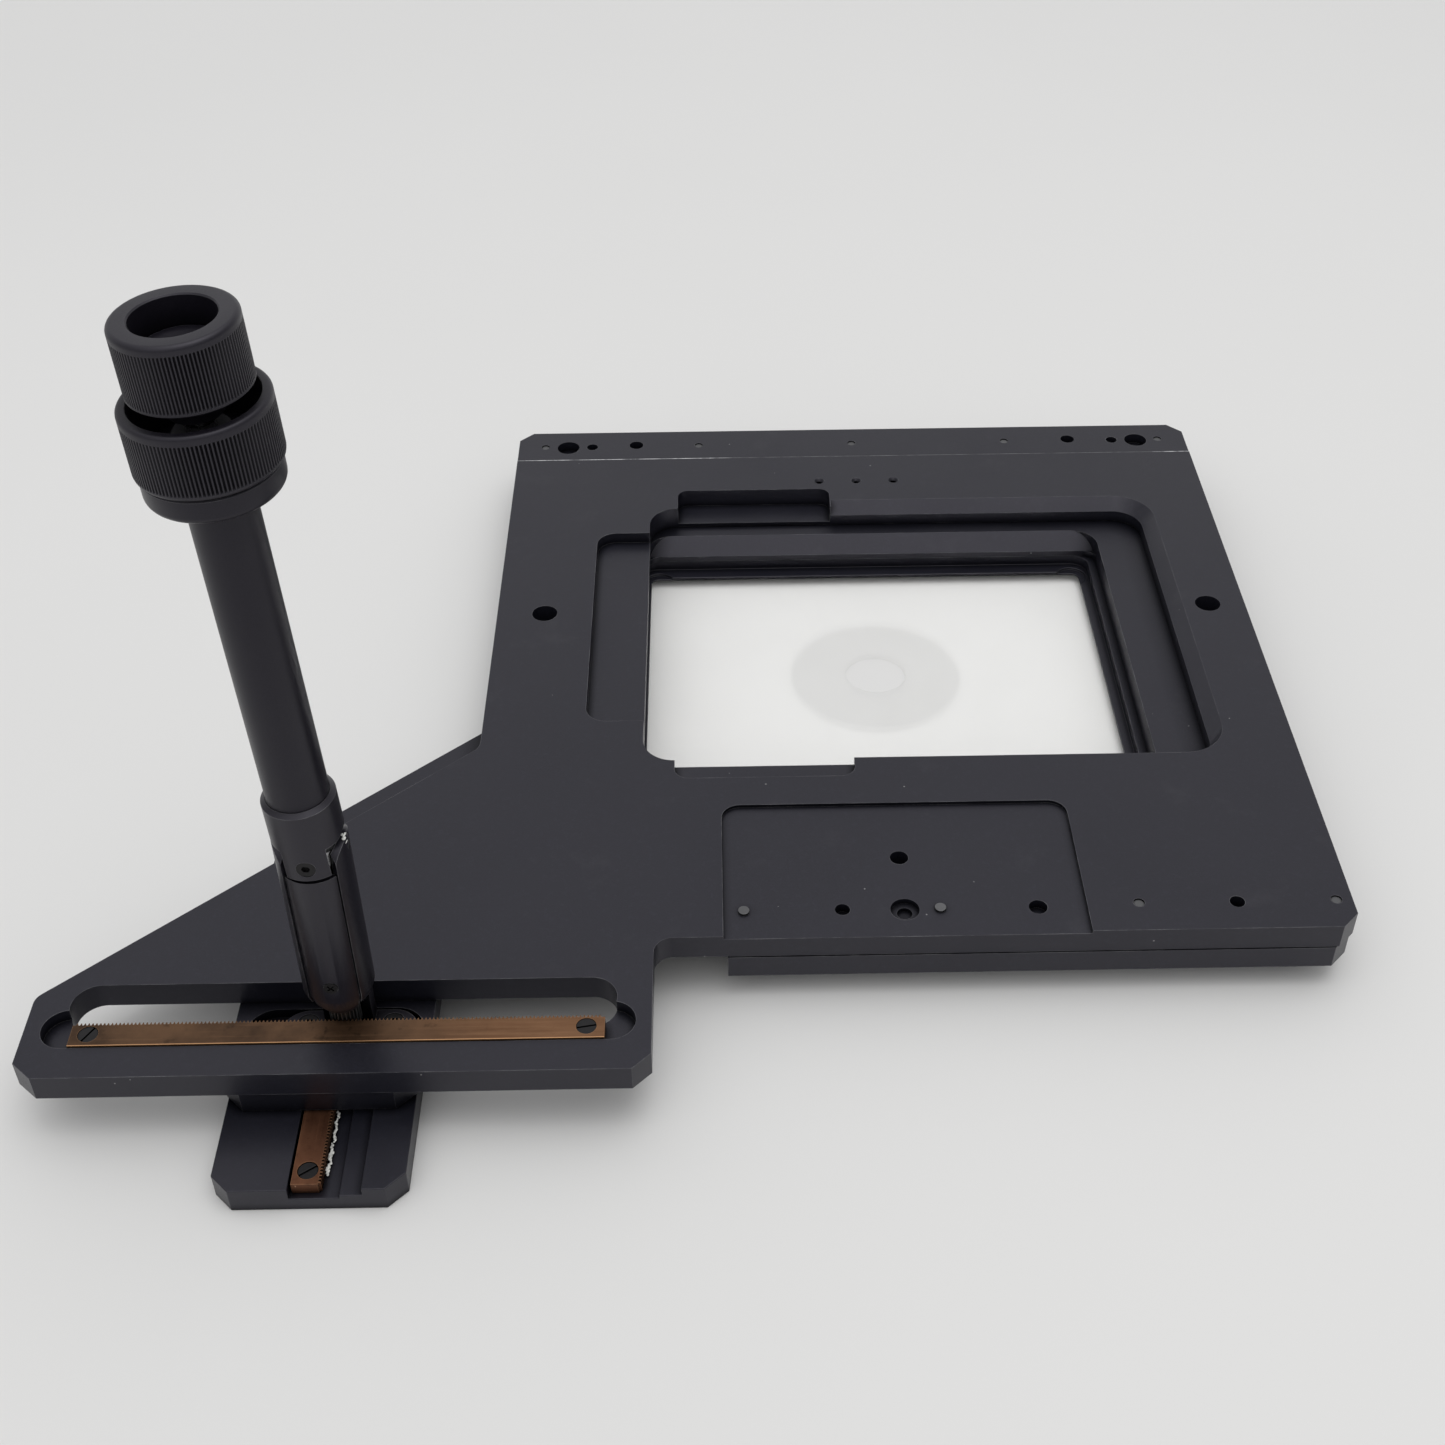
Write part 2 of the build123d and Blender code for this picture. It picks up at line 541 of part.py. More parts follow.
def specimen_plate():
    left, right, near, far = S_BODY
    arm_left, arm_right, arm_near = S_ARM
    outline = [
        (left + CORNER, far, 0), (left, far - CORNER, 0), (left, -45.0, 5.0), (arm_left, -97.7, 4.0),
        (arm_left, arm_near + CORNER, 0), (arm_left + CORNER, arm_near, 0),
        (arm_right - CORNER, arm_near, 0), (arm_right, arm_near + CORNER, 0), (arm_right, near, 6.0),
        (right - CORNER, near, 0), (right, near + CORNER, 0), (right, far - CORNER, 0), (right - CORNER, far, 0)]
    plate = slab(outline, 0, SPECIMEN_TOP)
    above = SPECIMEN_TOP + 1
    half_x, half_y = APERTURE
    well_x, well_y = WELL
    plate -= block(-half_x, half_x, -half_y, half_y, -1, above, 2.5)
    plate -= block(-well_x, well_x, -well_y, well_y, LEDGE_TOP, above, 5.0)
    for x in (-half_x + 2.6, half_x - 2.6):
        plate -= disc(x, half_y - 2.6, EAR_R, INSERT[2] + 0.6, above)
    seat_x, seat_y, seat_t = INSERT
    plate -= block(-seat_x - 0.1, seat_x + 0.1, -seat_y - 0.1, seat_y + 0.1, -1, seat_t + 0.1, 2.0)
    rack_side, step, channel_side = GROOVE
    plate -= block(rack_side, step, arm_near - 5, -111.5, Y_RACK_Z, above)
    plate -= block(step - 1, channel_side, arm_near - 5, -111.5, Y_RACK_Z + 1.0, above)
    for y in Y_SCREWS_Y:
        plate -= disc(Y_SCREW_X, y, 1.3, Y_RACK_Z - 2.6, above)
    for pocket in y_guide_pockets(near - 5, far + 5, Y_GUIDE_Z - RAIL_H / 2 - GUIDE_ROOM, above):
        plate -= pocket
    return plate


def stage_insert():
    half_x, half_y, thick = INSERT
    plate = block(-half_x, half_x, -half_y, half_y, 0, thick, 2.5)
    plate -= disc(0, 0, INSERT_HOLE_R, -1, thick + 1)
    plate -= cone(0, 0, DISH_R - 2.0, DISH_R, thick - 0.4, thick + 0.001)
    return plate


# ---- handle post: foot, column, cover and fork --------------------------------------------------
POST_SCREWS_X = [SHAFT_X - 10.6, SHAFT_X + 10.6]
POST_SCREW_Y = -150.2
FOOT_TOP = POST_POCKET_Z + 2.8
COVER_SCREW_Z = 38.8
COVER_TOP = 73.6


def column_profile(r):
    """Outline of the column's outside at radius r, with its cone."""
    return [(r - 2.6, COLUMN_BOTTOM), (r, CONE_TOP)]


def handle_post():
    foot = block(SHAFT_X - 17, SHAFT_X + 17, -163.5, -146.4, POST_POCKET_Z + SNUG, FOOT_TOP, 6.5)
    neck = block(SHAFT_X - 6.0, SHAFT_X + 6.0, -151.2, -146.6, FOOT_TOP - 0.5, COLUMN_BOTTOM + 3)
    neck -= turned([(COLUMN_R, COLUMN_BOTTOM), (30, COLUMN_BOTTOM), (30, 60), (COLUMN_R, 60)])
    column = turned([(0, COLUMN_BOTTOM), *column_profile(COLUMN_R), (COLUMN_R, COLUMN_TOP), (0, COLUMN_TOP)])
    post = foot + neck + column
    post -= disc(SHAFT_X, SHAFT_Y, 3.6, FOOT_TOP + 0.01, COLUMN_TOP + 1)
    post -= disc(SHAFT_X, SHAFT_Y, X_PITCH_R + 0.7, FOOT_TOP + 0.01, COLUMN_BOTTOM)
    post -= disc(SHAFT_X, SHAFT_Y, 2.1, POST_POCKET_Z - 1, FOOT_TOP + 1)
    for x in POST_SCREWS_X:
        post -= disc(x, POST_SCREW_Y, 2.7, FOOT_TOP - 1.7, FOOT_TOP + 1)
        post -= disc(x, POST_SCREW_Y, 1.3, POST_POCKET_Z - 1, FOOT_TOP + 1)
    post -= Pos(SHAFT_X, SHAFT_Y - 6, COVER_SCREW_Z) * Rot(90, 0, 0) * Cylinder(1.0, 8)
    return post


def post_screws():
    return group([socket_screw(x, POST_SCREW_Y, 2.6, FOOT_TOP - 1.65, FOOT_TOP - 0.1, 1.25, MIDDLE_BOTTOM + 0.6)
                  for x in POST_SCREWS_X])


def barrel_cover():
    """Curved front cover of the column, tapering at its foot."""
    outside = [(0, COLUMN_BOTTOM + 0.3), (COVER_R - 2.8, COLUMN_BOTTOM + 0.3), (COVER_R - 1.1, COLUMN_BOTTOM + 3.2),
               (COVER_R, CONE_TOP), (COVER_R, COVER_TOP), (0, COVER_TOP)]
    inside = [(0, 0), (SKIN_IN - 2.6, 0), (SKIN_IN - 2.6, COLUMN_BOTTOM), (SKIN_IN, CONE_TOP), (SKIN_IN, 80), (0, 80)]
    cover = (turned(outside) - turned(inside)) & wedge(-FORK_ANGLE + 1, FORK_ANGLE - 1, 20, 80)
    cover -= Pos(SHAFT_X, SHAFT_Y - 8, COVER_SCREW_Z) * Rot(90, 0, 0) * Cylinder(1.75, 1.2)
    cover -= Pos(SHAFT_X, SHAFT_Y - 8, COVER_SCREW_Z) * Rot(90, 0, 0) * Cylinder(1.0, 4)
    return cover


def cover_screw():
    head = Pos(SHAFT_X, SHAFT_Y - 7.85, COVER_SCREW_Z) * Rot(90, 0, 0) * Cylinder(1.7, 0.8)
    shank = Pos(SHAFT_X, SHAFT_Y - 5.95, COVER_SCREW_Z) * Rot(90, 0, 0) * Cylinder(0.95, 3.2)
    cross = Pos(SHAFT_X, SHAFT_Y - 8.3, COVER_SCREW_Z)
    return head + shank - cross * Rot(0, 45, 0) * Box(2.2, 1.0, 0.5) - cross * Rot(0, -45, 0) * Box(2.2, 1.0, 0.5)


def barrel_fork():
    """C-shaped sleeve around the column whose two ears carry the gimbal's side pins."""
    bottom = 31.0
    sleeve = turned([(SKIN_IN, CONE_TOP - 1.0), (SKIN_IN, FORK_TOP), (FORK_R, FORK_TOP), (FORK_R, bottom + 2.0),
                     (FORK_R - 0.7, bottom), (SKIN_IN - 0.25, bottom + 1.2)])
    sleeve -= wedge(-FORK_ANGLE, FORK_ANGLE, 20, 100)
    sleeve -= wedge(180 - FORK_ANGLE, 180 + FORK_ANGLE, 73.0, 100)
    dome = Pos(SHAFT_X, SHAFT_Y, FORK_TOP - 6.0) * Rot(0, 90, 0) * Cylinder(6.0, 40)
    lower = block(SHAFT_X - 20, SHAFT_X + 20, SHAFT_Y - 20, SHAFT_Y + 20, 20, FORK_TOP - 5.0)
    sleeve = sleeve & (lower + dome)
    return sleeve - Pos(SHAFT_X, SHAFT_Y, GIMBAL_Z) * Rot(0, 90, 0) * Cylinder(1.25 + SNUG, 40)


# ---- gimbal and drive joints --------------------------------------------------------------------
RING_IN, RING_OUT, RING_HALF = 5.7, 6.8, 2.0
PIN_R = 1.25


def gimbal_ring():
    low, high = GIMBAL_Z - RING_HALF, GIMBAL_Z + RING_HALF
    ring = turned([(RING_IN, low), (RING_OUT, low), (RING_OUT, high), (RING_IN, high)])
    centre = Pos(SHAFT_X, SHAFT_Y, GIMBAL_Z)
    ring -= centre * Rot(0, 90, 0) * Cylinder(PIN_R + RUN, 40)
    return ring - centre * Rot(90, 0, 0) * Cylinder(PIN_R + RUN, 40)


def gimbal_side_pins():
    span = FORK_R - 0.15 - 5.8
    middle = 5.8 + span / 2
    return group([Pos(SHAFT_X + s * middle, SHAFT_Y, GIMBAL_Z) * Rot(0, 90, 0) * Cylinder(PIN_R, span) for s in (-1, 1)])


def collar_screw(side):
    """Pivot screw in the collar's front (-1) or rear (+1) ear."""
    place = Pos(SHAFT_X, SHAFT_Y, GIMBAL_Z) * Rot(0, 0, 0 if side > 0 else 180) * Rot(-90, 0, 0)
    head = disc(0, 0, 2.2, 7.3, COLLAR_R - 0.1)
    pivot = disc(0, 0, PIN_R, 5.8, 7.3)
    socket = Pos(0, 0, COLLAR_R - 1.0) * Solid.extrude(face_of(hexagon(0, 0, 1.0)), Vector(0, 0, 2.0))
    return place * (head + pivot - socket)


def collar():
    low, skirt = GIMBAL_Z - 3.5, 82.7
    ring = turned([(5.6, skirt), (COLLAR_R, skirt), (COLLAR_R, COLLAR_TOP - 0.9), (TUBE_R + 0.2, COLLAR_TOP),
                   (TUBE_R + SNUG, COLLAR_TOP), (TUBE_R + SNUG, 92.5), (5.6, 92.5)])
    ears = turned([(7.1, low), (COLLAR_R, low), (COLLAR_R, skirt + 0.1), (7.1, skirt + 0.1)])
    front_ear = ears & wedge(-EAR_ANGLE, EAR_ANGLE, 60, 90)
    rear_ear = ears & wedge(180 - EAR_ANGLE, 180 + EAR_ANGLE, 60, 90)
    body = ring + front_ear + rear_ear
    for side in (-1, 1):
        scallop = Rot(0, 90, 0) * Cylinder(7.2, 14.5)
        body -= Pos(SHAFT_X + side * (5.55 + 7.25), SHAFT_Y, GIMBAL_Z - 1.7) * scallop
    centre = Pos(SHAFT_X, SHAFT_Y, GIMBAL_Z)
    body -= centre * Rot(90, 0, 0) * Cylinder(PIN_R + SNUG, 40)
    for side in (-1, 1):
        body -= centre * Pos(0, side * (7.3 + 5), 0) * Rot(90, 0, 0) * Cylinder(2.2 + SNUG, 10)
    return body


def arc_points(r, z_from, z_to, steps=8):
    """Points of a sphere's outline about the gimbal's centre, between two heights."""
    a0, a1 = [asin(z / r) for z in (z_from, z_to)]
    angles = [a0 + (a1 - a0) * i / steps for i in range(steps + 1)]
    return [(r * cos(a), GIMBAL_Z + r * sin(a)) for a in angles]


def x_pinion_sleeve():
    teeth = pinion(X_TEETH, X_RACK_Z - 0.3, COLUMN_BOTTOM - 0.2)
    tube = disc(SHAFT_X, SHAFT_Y, SLEEVE_R - 0.4, X_RACK_Z - 0.3, COLUMN_BOTTOM + 1)
    tube += disc(SHAFT_X, SHAFT_Y, SLEEVE_R, COLUMN_BOTTOM - 0.2, 74.4)
    return teeth + tube - disc(SHAFT_X, SHAFT_Y, SHAFT_R + RUN, 0, 100)


def x_drive_socket():
    """Cup on the outer sleeve that holds the upper sleeve's ball; its slots take the drive pins."""
    bore = X_BALL_R + RUN
    cup = turned([(SLEEVE_R + SNUG, 73.0), (5.2, 73.0), (5.2, 81.8), (bore, 81.8), (bore, 74.6), (SLEEVE_R + SNUG, 74.6)])
    return cup - Pos(SHAFT_X, SHAFT_Y, 82) * Box(1.5, 30, 11.0)


def x_upper_sleeve():
    outside = arc_points(X_BALL_R, -2.2, 1.9) + [(4.0, GIMBAL_Z + 2.6), (4.0, 83.6), (SLEEVE_R, 84.8), (SLEEVE_R, 190.0)]
    inside = [(SHAFT_R + RUN, 190.0), (SHAFT_R + RUN, 83.4), (3.5, 82.3), (3.5, GIMBAL_Z - 2.2)]
    sleeve = turned(outside + inside)
    return lean(sleeve - Pos(SHAFT_X, SHAFT_Y, GIMBAL_Z) * Rot(90, 0, 0) * Cylinder(0.6 + SNUG, 20))


def drive_pins(r, r_from, r_to):
    """Two stub pins on the ball, along Y."""
    middle = (r_from + r_to) / 2
    pins = [Pos(SHAFT_X, SHAFT_Y + s * middle, GIMBAL_Z) * Rot(90, 0, 0) * Cylinder(r, r_to - r_from) for s in (-1, 1)]
    return group([lean(pin) for pin in pins])


def y_pinion_shaft():
    low = Y_RACK_Z + 1.15
    teeth = pinion(Y_TEETH, low, MIDDLE_BOTTOM - 0.2)
    journal = disc(SHAFT_X, SHAFT_Y, 2.0, low, FOOT_TOP - 0.3)
    return teeth + journal + disc(SHAFT_X, SHAFT_Y, SHAFT_R, 8, 75.9)


def y_drive_socket():
    bore = Y_BALL_R + RUN
    cup = turned([(SHAFT_R + SNUG, 75.0), (2.9, 75.0), (2.9, 80.9), (bore, 80.9), (bore, 76.0), (SHAFT_R + SNUG, 76.0)])
    return cup - Pos(SHAFT_X, SHAFT_Y, 81.0) * Box(1.0, 20, 9.0)


def y_upper_shaft():
    outline = [(0, GIMBAL_Z - Y_BALL_R)] + arc_points(Y_BALL_R, -Y_BALL_R + 0.001, 1.6)[1:]
    outline += [(1.4, GIMBAL_Z + 2.1), (1.4, 83.0), (SHAFT_R, 83.5), (SHAFT_R, 203.0), (0, 203.0)]
    shaft = turned(outline)
    return lean(shaft - Pos(SHAFT_X, SHAFT_Y, GIMBAL_Z) * Rot(90, 0, 0) * Cylinder(0.4 + SNUG, 20))


def bush(r_in, r_out, z0, z1):
    return turned([(r_in, z0), (r_out, z0), (r_out, z1), (r_in, z1)])


# ---- handle and knobs ---------------------------------------------------------------------------
def handle_tube():
    return lean(turned([(TUBE_IN, 92.55), (TUBE_R, 92.55), (TUBE_R, TUBE_TOP), (TUBE_IN, TUBE_TOP)]))


def end_ring():
    top = X_KNOB_Z - GAP
    outline = [(SLEEVE_R + 0.2, TUBE_TOP + 0.1), (TUBE_R + SNUG, TUBE_TOP + 0.1), (TUBE_R + SNUG, RING_Z),
               (RING_R - 1.5, RING_Z), (RING_R - 0.45, RING_Z + 0.45), (RING_R, RING_Z + 1.5), (RING_R, top),
               (SLEEVE_R + 0.2, top)]
    return lean(turned(outline))


def x_knob():
    hub = 6.0
    wall = X_KNOB_R - 2.0
    outline = [(SLEEVE_R + SNUG, X_KNOB_Z), (X_KNOB_R - 1.2, X_KNOB_Z), (X_KNOB_R, X_KNOB_Z + 1.2),
               (X_KNOB_R, X_KNOB_TOP - 0.8), (X_KNOB_R - 0.7, X_KNOB_TOP), (wall, X_KNOB_TOP),
               (wall, X_KNOB_Z + 3.0), (hub, X_KNOB_Z + 3.0), (hub, 189.0), (SLEEVE_R + SNUG, 189.0)]
    return lean(turned(outline) - radial_hole(0.85, 186.8, 2, 12))


def y_knob():
    bore = 8.3
    floor = Y_KNOB_TOP - 7.4
    outline = [(SHAFT_R + SNUG, 192.0), (5.5, 192.0), (5.5, Y_KNOB_Z), (Y_KNOB_R - 0.5, Y_KNOB_Z),
               (Y_KNOB_R, Y_KNOB_Z + 0.5), (Y_KNOB_R, Y_KNOB_TOP - 1.1), (Y_KNOB_R - 0.35, Y_KNOB_TOP - 0.35),
               (Y_KNOB_R - 1.1, Y_KNOB_TOP), (bore, Y_KNOB_TOP), (bore, floor), (SHAFT_R + SNUG, floor)]
    return lean(turned(outline) - radial_hole(0.85, 194.6, 1, 12))


def radial_hole(r, z, r_from, r_to):
    """Hole towards the rear for a set screw."""
    middle = (r_from + r_to) / 2
    return Pos(SHAFT_X, SHAFT_Y + middle, z) * Rot(90, 0, 0) * Cylinder(r, r_to - r_from)


def set_screw(z, r_from, r_to):
    body = radial_hole(0.83, z, r_from, r_to)
    return lean(body - radial_hole(0.4, z, r_to - 0.8, r_to + 1))


def top_disc():
    """Disc that closes the bottom of the upper knob's bore."""
    floor = Y_KNOB_TOP - 7.4
    return lean(disc(SHAFT_X, SHAFT_Y, 8.25, floor + SNUG, floor + 1.0))


# ---- all nodes ----------------------------------------------------------------------------------
save("base_plate", base_plate())
save("rail_screws", rail_screws())
save("x_rack", x_rack())
save("x_rack_screws", group([rack_screw(x, RACK_SCREW_Y, X_RACK_Z, a) for x, a in zip(RACK_SCREWS_X, (60, 10))]))
guide_rails()
save("middle_plate", middle_plate())
save("handle_post", handle_post())
save("post_screws", post_screws())
save("barrel_cover", barrel_cover())
save("cover_screw", cover_screw())
save("barrel_fork", barrel_fork())
save("gimbal_side_pins", gimbal_side_pins())
save("post_bushes", group([bush(SLEEVE_R + RUN, 3.6 - SNUG, 27, 33), bush(SLEEVE_R + RUN, 3.6 - SNUG, 66, 72)]))
save("pinion_bush", bush(2.0 + RUN, 4.2 - SNUG, MIDDLE_BOTTOM + 0.1, POST_POCKET_Z - 0.05))
save("specimen_plate", specimen_plate())
save("y_rack", y_rack())
save("y_rack_screws", group([rack_screw(Y_SCREW_X, y, Y_RACK_Z, 35) for y in Y_SCREWS_Y]))
save("stage_insert", stage_insert())
save("x_pinion_sleeve", x_pinion_sleeve())
save("x_drive_socket", x_drive_socket())
save("y_pinion_shaft", y_pinion_shaft())
save("y_drive_socket", y_drive_socket())
save("gimbal_ring", gimbal_ring())
save("collar", lean(collar()))
save("collar_screws", group([lean(collar_screw(side)) for side in (-1, 1)]))
save("handle_tube", handle_tube())
save("handle_bushes", group([lean(bush(SLEEVE_R + RUN, TUBE_IN - SNUG, z, z + 8)) for z in (95, 168)]))
save("end_ring", end_ring())
save("x_upper_sleeve", x_upper_sleeve())
save("x_drive_pins", drive_pins(0.6, 3.6, 5.1))
save("x_knob", x_knob())
save("x_knob_set_screw", set_screw(186.8, SLEEVE_R + SNUG, 5.9))
save("y_upper_shaft", y_upper_shaft())
save("y_drive_pins", drive_pins(0.4, 0.8, 2.8))
save("y_knob", y_knob())
save("y_knob_set_screw", set_screw(194.6, SHAFT_R + SNUG, 5.4))
save("top_disc", top_disc())
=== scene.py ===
"""Looks of the microscope stage: materials, knurled knobs, eased edges, light and camera."""
import json
import math
import random

import bmesh
import bpy
from mathutils import Matrix, Vector


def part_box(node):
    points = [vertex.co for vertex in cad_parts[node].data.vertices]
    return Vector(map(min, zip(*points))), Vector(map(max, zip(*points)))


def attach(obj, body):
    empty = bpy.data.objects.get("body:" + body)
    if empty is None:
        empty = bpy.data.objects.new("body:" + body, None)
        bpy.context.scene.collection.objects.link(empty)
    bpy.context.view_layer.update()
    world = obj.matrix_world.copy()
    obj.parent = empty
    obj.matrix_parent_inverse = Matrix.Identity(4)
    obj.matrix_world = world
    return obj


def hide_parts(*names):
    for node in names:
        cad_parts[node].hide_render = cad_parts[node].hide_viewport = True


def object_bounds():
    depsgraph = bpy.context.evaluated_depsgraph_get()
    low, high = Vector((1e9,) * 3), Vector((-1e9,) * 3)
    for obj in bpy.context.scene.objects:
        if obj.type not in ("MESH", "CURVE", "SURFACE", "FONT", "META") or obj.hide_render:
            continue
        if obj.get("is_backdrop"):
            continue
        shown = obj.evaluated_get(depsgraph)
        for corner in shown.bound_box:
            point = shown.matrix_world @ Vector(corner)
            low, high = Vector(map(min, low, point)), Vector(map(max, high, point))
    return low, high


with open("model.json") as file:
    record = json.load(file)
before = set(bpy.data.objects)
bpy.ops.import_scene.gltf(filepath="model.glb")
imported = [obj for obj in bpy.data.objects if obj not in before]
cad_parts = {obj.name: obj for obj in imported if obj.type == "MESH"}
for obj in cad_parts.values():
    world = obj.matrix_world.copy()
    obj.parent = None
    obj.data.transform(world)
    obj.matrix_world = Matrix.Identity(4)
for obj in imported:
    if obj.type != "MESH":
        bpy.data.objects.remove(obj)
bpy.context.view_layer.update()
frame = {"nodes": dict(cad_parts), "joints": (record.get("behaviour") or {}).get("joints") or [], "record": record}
SPIN = next(j for j in frame["joints"] if j["name"] == "x_knob_spin")
PIVOT = Vector(SPIN["pos_m"])
HANDLE = Vector(SPIN["axis"]).normalized()
BODY_OF = {n: b for b, ns in frame["record"]["behaviour"]["bodies"].items() for n in ns}
SLOT_OF = {s["node"]: s["material_slot"] for s in frame["record"]["subparts"]}

MM = 0.001
WORN_STEP_Y = 94.8 * MM                  # edge of the base plate's lowered far strip
WORN_ENDS = (-47 * MM, 101 * MM)         # it is rubbed bright outside these two
X_RACK_LIGHTER_SPAN = (-128 * MM, -105 * MM)      # the X rack turns from darker to lighter over this stretch of X
# how deep painted shade reaches into the grooves and hollows of the plates
PLATE_SHADE_REACH = 2.5 * MM
DEEP_SHADE_REACH = 8.0 * MM                  # painted shade reaches this deep on parts that lie deep inside the slot and the opening
DISH_R = 27 * MM
INSERT_CLOUD = (0.034, 0.034, 0.034, 1.0)
VIOLET = (0.93, 0.90, 1.0, 1.0)          # faint violet cast of black anodising

# ---- camera -------------------------------------------------------------------------------------
CAMERA_AT = (-0.0487, -0.4699, 0.3815)
PITCH, YAW, ROLL = 39.70, 0.63, -0.49    # degrees
LENS = 47.95
SHIFT = (-0.0101, -0.0147)


def add_camera():
    p, y, r = (math.radians(a) for a in (PITCH, YAW, ROLL))
    forward = Vector((math.sin(y) * math.cos(p), math.cos(y) * math.cos(p), -math.sin(p)))
    level = Vector((math.cos(y), -math.sin(y), 0))
    up = level.cross(forward)
    right = level * math.cos(r) + up * math.sin(r)
    over = up * math.cos(r) - level * math.sin(r)
    data = bpy.data.cameras.new("camera")
    data.sensor_width = 36
    data.lens = LENS
    data.shift_x, data.shift_y = SHIFT
    data.clip_start = 0.01
    data.clip_end = 50
    camera = bpy.data.objects.new("camera", data)
    turn = Matrix((right, over, -forward)).transposed().to_4x4()
    camera.matrix_world = Matrix.Translation(CAMERA_AT) @ turn
    bpy.context.scene.collection.objects.link(camera)
    bpy.context.scene.camera = camera


# ---- node helpers -------------------------------------------------------------------------------
class Shader:
    """A material's node tree with short calls for the nodes used here."""

    def __init__(self, name):
        self.material = bpy.data.materials.new(name)
        self.material.use_nodes = True
        self.tree = self.material.node_tree
        self.surface = self.tree.nodes["Principled BSDF"]
        self.output = self.tree.nodes["Material Output"]
        self.place = self.tree.nodes.new("ShaderNodeTexCoord").outputs["Object"]

    def node(self, kind, **settings):
        made = self.tree.nodes.new("ShaderNode" + kind)
        for key, value in settings.items():
            setattr(made, key, value)
        return made

    def link(self, value, socket):
        if isinstance(value, bpy.types.NodeSocket):
            self.tree.links.new(value, socket)
        else:
            socket.default_value = value

    def set(self, **values):
        for key, value in values.items():
            self.link(value, self.surface.inputs[key.replace("_", " ")])

    def stretched(self, x, y, z, turn=0.0):
        mapping = self.node("Mapping")
        self.link(self.place, mapping.inputs["Vector"])
        mapping.inputs["Scale"].default_value = (x, y, z)
        mapping.inputs["Rotation"].default_value = (0, 0, math.radians(turn))
        return mapping.outputs["Vector"]

    def split(self, vector):
        made = self.node("SeparateXYZ")
        self.link(vector, made.inputs[0])
        return made.outputs

    def noise(self, scale, detail=3.0, rough=0.5, vector=None):
        made = self.node("TexNoise")
        self.link(vector or self.place, made.inputs["Vector"])
        made.inputs["Scale"].default_value = scale
        made.inputs["Detail"].default_value = detail
        made.inputs["Roughness"].default_value = rough
        return made.outputs["Fac"]

    def cells(self, scale, vector=None, feature="F1"):
        made = self.node("TexVoronoi", feature=feature)
        self.link(vector or self.place, made.inputs["Vector"])
        made.inputs["Scale"].default_value = scale
        return made

    def fit(self, value, low, high, to_low=0.0, to_high=1.0):
        made = self.node("MapRange")
        for i, v in enumerate((value, low, high, to_low, to_high)):
            self.link(v, made.inputs[i])
        return made.outputs[0]

    def math(self, operation, a, b=0.0):
        made = self.node("Math", operation=operation)
        self.link(a, made.inputs[0])
        self.link(b, made.inputs[1])
        return made.outputs[0]

    def mix(self, factor, a, b):
        made = self.node("Mix", data_type="RGBA")
        self.link(factor, made.inputs[0])
        self.link((*a, 1) if isinstance(a, tuple) else a, made.inputs[6])
        self.link((*b, 1) if isinstance(b, tuple) else b, made.inputs[7])
        return made.outputs[2]

    def bump(self, height, strength, distance=0.0001):
        made = self.node("Bump")
        made.inputs["Strength"].default_value = strength
        made.inputs["Distance"].default_value = distance
        self.link(height, made.inputs["Height"])
        self.link(made.outputs["Normal"], self.surface.inputs["Normal"])

    def edges(self, radius):
        """1 on edges and corners, 0 on flat parts."""
        soft = self.node("Bevel", samples=6)
        soft.inputs["Radius"].default_value = radius
        plain = self.node("NewGeometry")
        dot = self.node("VectorMath", operation="DOT_PRODUCT")
        self.link(soft.outputs["Normal"], dot.inputs[0])
        self.link(plain.outputs["Normal"], dot.inputs[1])
        return self.fit(dot.outputs["Value"], 0.995, 0.90)

    def painted_shade_factor(self, shade_reach):
        """Share of light left after painted shade: 1 on open faces, lower down in teeth, knurls and corners."""
        made = self.node("AmbientOcclusion", samples=8)
        made.inputs["Distance"].default_value = shade_reach
        return self.math("POWER", made.outputs["AO"], 1.6)

    def with_painted_shade(self, share, colour):
        """The colour with painted shade: darkened where the share is low."""
        made = self.node("VectorMath", operation="SCALE")
        self.link(colour, made.inputs[0])
        self.link(share, made.inputs["Scale"])
        return made.outputs[0]


# ---- materials ----------------------------------------------------------------------------------
def brighter(colour, times, plus=0.0):
    """The colour with each part multiplied, then raised, and kept to 1 at most."""
    return tuple(min(1.0, c * times + plus) for c in colour)


def worn_line(s, worn_y):
    """Share of a thin broken line along X, strong past both WORN_ENDS and faint between them."""
    x, y, z = s.split(s.place)
    off = s.math("ABSOLUTE", s.math("SUBTRACT", y, worn_y))
    left, right = WORN_ENDS
    past_left = s.fit(x, left + 4 * MM, left - 4 * MM, 0.15, 1.0)
    past_right = s.fit(x, right, right + 3 * MM)
    ends = s.math("MAXIMUM", past_left, past_right)
    broken = s.fit(s.noise(160, 4, 0.7, s.stretched(1, 0, 0)), 0.40, 0.56, 0.15, 0.95)
    return s.math("MULTIPLY", s.fit(off, 0.40 * MM, 0.18 * MM), s.math("MULTIPLY", ends, broken))


